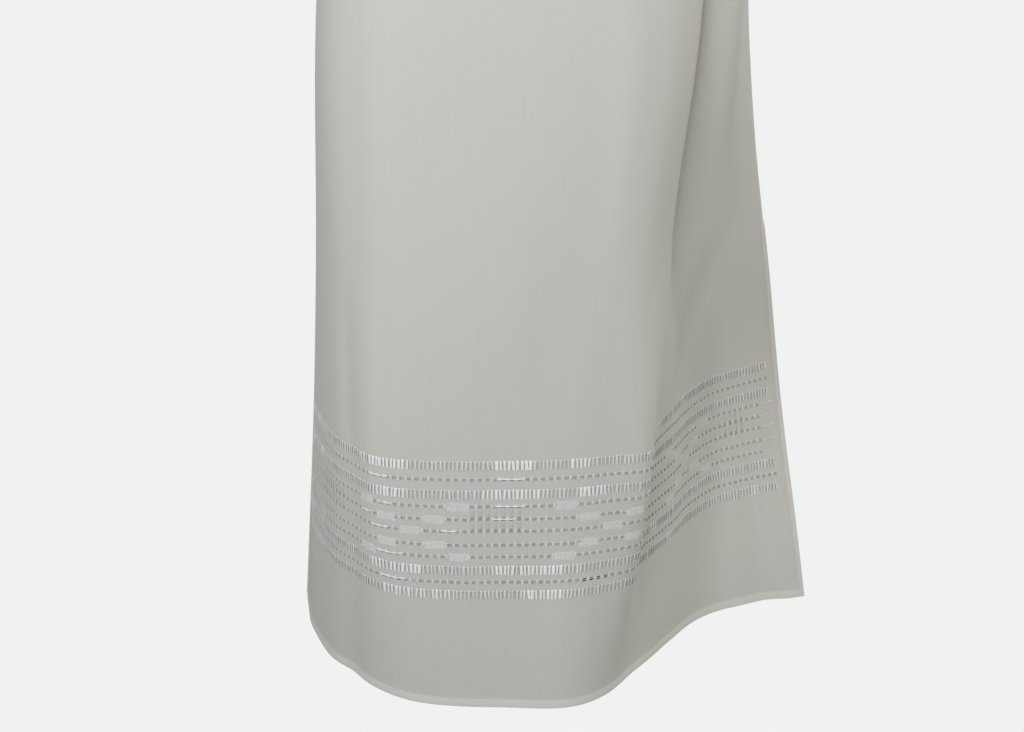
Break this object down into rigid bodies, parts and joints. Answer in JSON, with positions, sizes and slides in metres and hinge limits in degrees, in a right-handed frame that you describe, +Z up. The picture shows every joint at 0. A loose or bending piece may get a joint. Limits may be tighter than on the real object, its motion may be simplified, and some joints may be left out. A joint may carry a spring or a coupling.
{
  "type": "embroidered dress, worn by its wearer, who holds it up at the shoulders",
  "caption": "Ankle-length sleeveless dress with side slits and a satin and openwork band above the hem, hollow as when it is worn.",
  "frame": {"origin": "midway between the two high points of the shoulders, on the line of the shoulder seams", "axes": "+X to the wearer's left, -Y the wearer's front, +Z up along the dress"},
  "size_m": [0.5609, 0.4858, 1.2455],
  "materials": {
    "cotton": "fine plain weave, off-white"
  },
  "bodies": {
    "root": {"front": "cotton", "back": "cotton", "neck_binding": "cotton", "armhole_binding_left": "cotton", "armhole_binding_right": "cotton"}
  },
  "joints": []
}
